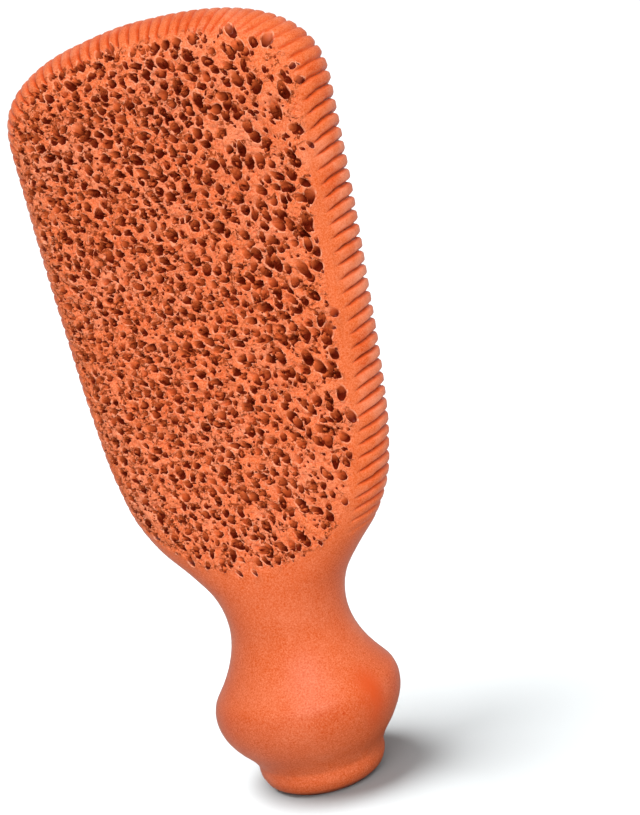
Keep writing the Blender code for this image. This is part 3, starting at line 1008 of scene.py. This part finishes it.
def terracotta(looks):
    """The fired clay: satin on the handle, matt and torn on the face, with painted shade, darker and redder,
    in the pits.
    """
    material = bpy.data.materials.new("terracotta")
    material.use_nodes = True
    tree = material.node_tree
    shader = tree.nodes["Principled BSDF"]
    shader.inputs["Specular IOR Level"].default_value = 0.04
    shader.inputs["Coat Roughness"].default_value = 0.45
    place = tree.nodes.new("ShaderNodeTexCoord").outputs["Object"]
    marks = {}
    for name in ("edge", "shade", "rim", "notch", "face"):
        marks[name] = add_node(tree, "ShaderNodeAttribute", {"attribute_name": name}).outputs["Fac"]
    face = marks["face"]
    group = {"node_tree": clay_grain_group()}
    grain = add_node(tree, "ShaderNodeGroup", group, Place=place, Torn=face).outputs
    colour = fired_colour(tree, place, marks, looks)
    feed(tree, shader.inputs["Base Color"], tool_colours(tree, place, marks, grain, colour, looks))
    rubbed = remap(tree, noise(tree, place, *RUB_NOISE), 0.35, 0.65, -0.06, 0.06)
    torn = times(tree, face, looks.face_roughness - looks.smooth_roughness)
    roughness = calculate(tree, "ADD", rubbed, looks.smooth_roughness, torn)
    feed(tree, shader.inputs["Roughness"], roughness)
    feed(tree, shader.inputs["Coat Weight"], remap(tree, face, 1.0, 0.0, 0.0, 0.6))
    relief = {"Strength": 0.7, "Distance": GRAIN_DEPTH, "Height": grain["Height"]}
    feed(tree, shader.inputs["Normal"], add_node(tree, "ShaderNodeBump", **relief).outputs["Normal"])
    return material


def direction(azimuth, elevation):
    """The direction at an angle round from the front and an angle above the horizon."""
    level = math.cos(elevation)
    return Vector((math.sin(azimuth) * level, -math.cos(azimuth) * level, math.sin(elevation)))


def add_light(context, name, place, strength):
    """A soft light, far away, whose place is its azimuth, elevation and spread of sky in degrees."""
    azimuth, elevation, spread = (math.radians(angle) for angle in place)
    back = direction(azimuth, elevation)
    data = bpy.data.lights.new(name, "SUN")
    data.angle = spread
    data.energy = strength
    light = bpy.data.objects.new(name, data)
    light.matrix_world = Matrix.Translation(AIM + back) @ back.to_track_quat("Z", "Y").to_matrix().to_4x4()
    context.scene.collection.objects.link(light)
    return light


class SCRUBBER_OT_shape_clay(bpy.types.Operator):
    """Shape the clay body with its pits and notches, and give it its fired finish."""

    bl_idname = "scrubber.shape_clay"
    bl_label = "Shape the clay"

    def execute(self, context):
        scene = context.scene
        piece = bpy.data.objects.new("foot_scrubber_clay", clay_mesh(scene.scrubber_sizes))
        scene.collection.objects.link(piece)
        context.view_layer.update()
        thin_out(piece, MOST_TRIANGLES, TRIANGLE_LIMIT)
        piece.data.materials.append(terracotta(scene.scrubber_looks))
        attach(piece, "root")
        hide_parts("foot_scrubber")
        return {"FINISHED"}


class SCRUBBER_OT_set_stage(bpy.types.Operator):
    """Lay the floor, light the room, and place the camera."""

    bl_idname = "scrubber.set_stage"
    bl_label = "Set the stage"

    def execute(self, context):
        looks = context.scene.scrubber_stage
        self.lay_floor(context, looks)
        self.light_room(context, looks)
        self.place_camera(context, looks)
        return {"FINISHED"}

    def lay_floor(self, context, looks):
        """One wide, flat, pale sheet, with its own colour for the camera and another for the clay."""
        sides = ((-1, -1), (1, -1), (1, 1), (-1, 1))
        corners = [(x * FLOOR_REACH, y * FLOOR_REACH, FLOOR_LEVEL) for x, y in sides]
        mesh = bpy.data.meshes.new("floor")
        mesh.from_pydata(corners, [], [(0, 1, 2, 3)])
        floor = bpy.data.objects.new("floor", mesh)
        material = bpy.data.materials.new("white_floor")
        material.use_nodes = True
        tree = material.node_tree
        shader = tree.nodes["Principled BSDF"]
        seen = tree.nodes.new("ShaderNodeLightPath").outputs["Is Camera Ray"]
        colour = mix_colours(tree, seen, (*looks.floor_bounce, 1), (*looks.floor, 1))
        tree.links.new(colour, shader.inputs["Base Color"])
        shader.inputs["Roughness"].default_value = 0.9
        shader.inputs["Specular IOR Level"].default_value = 0.1
        mesh.materials.append(material)
        context.scene.collection.objects.link(floor)

    def light_room(self, context, looks):
        """A white room that is seen at full brightness but lights less, and two soft lights."""
        world = bpy.data.worlds.new("white_room")
        world.use_nodes = True
        tree = world.node_tree
        background = tree.nodes["Background"]
        background.inputs["Color"].default_value = (1, 1, 1, 1)
        seen = tree.nodes.new("ShaderNodeLightPath").outputs["Is Camera Ray"]
        strength = remap(tree, seen, 0.0, 1.0, looks.room_light, looks.room_seen)
        tree.links.new(strength, background.inputs["Strength"])
        context.scene.world = world
        add_light(context, "front_light", FRONT_LIGHT, looks.front_light)
        side = add_light(context, "floor_light", FLOOR_LIGHT, looks.floor_light)
        lit = bpy.data.collections.new("lit_from_the_side")
        lit.objects.link(bpy.data.objects["floor"])
        side.light_linking.receiver_collection = lit

    def place_camera(self, context, looks):
        """The camera looks at the middle of the scrubber, rolls, and shifts it to its place in the frame.

        The lens and the shifts are measured by the frame's longer side, its height.
        """
        data = bpy.data.cameras.new("camera")
        data.sensor_width = SENSOR
        data.lens = SENSOR * FOCAL_PIXELS / FRAME_HEIGHT
        data.shift_x = (FRAME_WIDTH / 2 - AIM_PIXEL[0]) / FRAME_HEIGHT
        data.shift_y = (AIM_PIXEL[1] - FRAME_HEIGHT / 2) / FRAME_HEIGHT
        data.clip_start = 0.01
        data.clip_end = 50
        camera = bpy.data.objects.new("camera", data)
        back = direction(looks.azimuth, looks.elevation)
        facing = back.to_track_quat("Z", "Y").to_matrix().to_4x4()
        roll = Matrix.Rotation(-looks.roll, 4, "Z")
        camera.matrix_world = Matrix.Translation(AIM + back * looks.distance) @ facing @ roll
        context.scene.collection.objects.link(camera)
        context.scene.camera = camera
        context.scene.view_settings.view_transform = "Standard"


class SCRUBBER_PT_panel(bpy.types.Panel):
    """Lists the sizes, the looks and the steps in the 3D view's sidebar."""

    bl_idname = "SCRUBBER_PT_panel"
    bl_label = "Foot Scrubber"
    bl_space_type = "VIEW_3D"
    bl_region_type = "UI"
    bl_category = "Foot Scrubber"

    def draw(self, context):
        layout = self.layout
        for group in PROPERTY_GROUPS:
            settings = getattr(context.scene, group)
            for name in settings.__annotations__:
                layout.prop(settings, name)
        for operator in OPERATORS:
            layout.operator(operator.bl_idname)


PROPERTY_GROUPS = {"scrubber_sizes": ClaySizes, "scrubber_looks": ClayLooks, "scrubber_stage": StageLooks}
OPERATORS = (SCRUBBER_OT_shape_clay, SCRUBBER_OT_set_stage)
CLASSES = (*PROPERTY_GROUPS.values(), *OPERATORS, SCRUBBER_PT_panel)


def register():
    """Register the classes, and hang the settings on the scene."""
    for cls in CLASSES:
        bpy.utils.register_class(cls)
    for name, group in PROPERTY_GROUPS.items():
        setattr(bpy.types.Scene, name, PointerProperty(type=group))


def unregister():
    """Take the settings off the scene again, and unregister the classes."""
    for name in PROPERTY_GROUPS:
        delattr(bpy.types.Scene, name)
    for cls in reversed(CLASSES):
        bpy.utils.unregister_class(cls)


def main():
    """Register the classes, shape the clay and set the stage."""
    register()
    bpy.ops.scrubber.shape_clay()
    bpy.ops.scrubber.set_stage()
    bpy.context.view_layer.update()


if __name__ == "__main__":
    main()
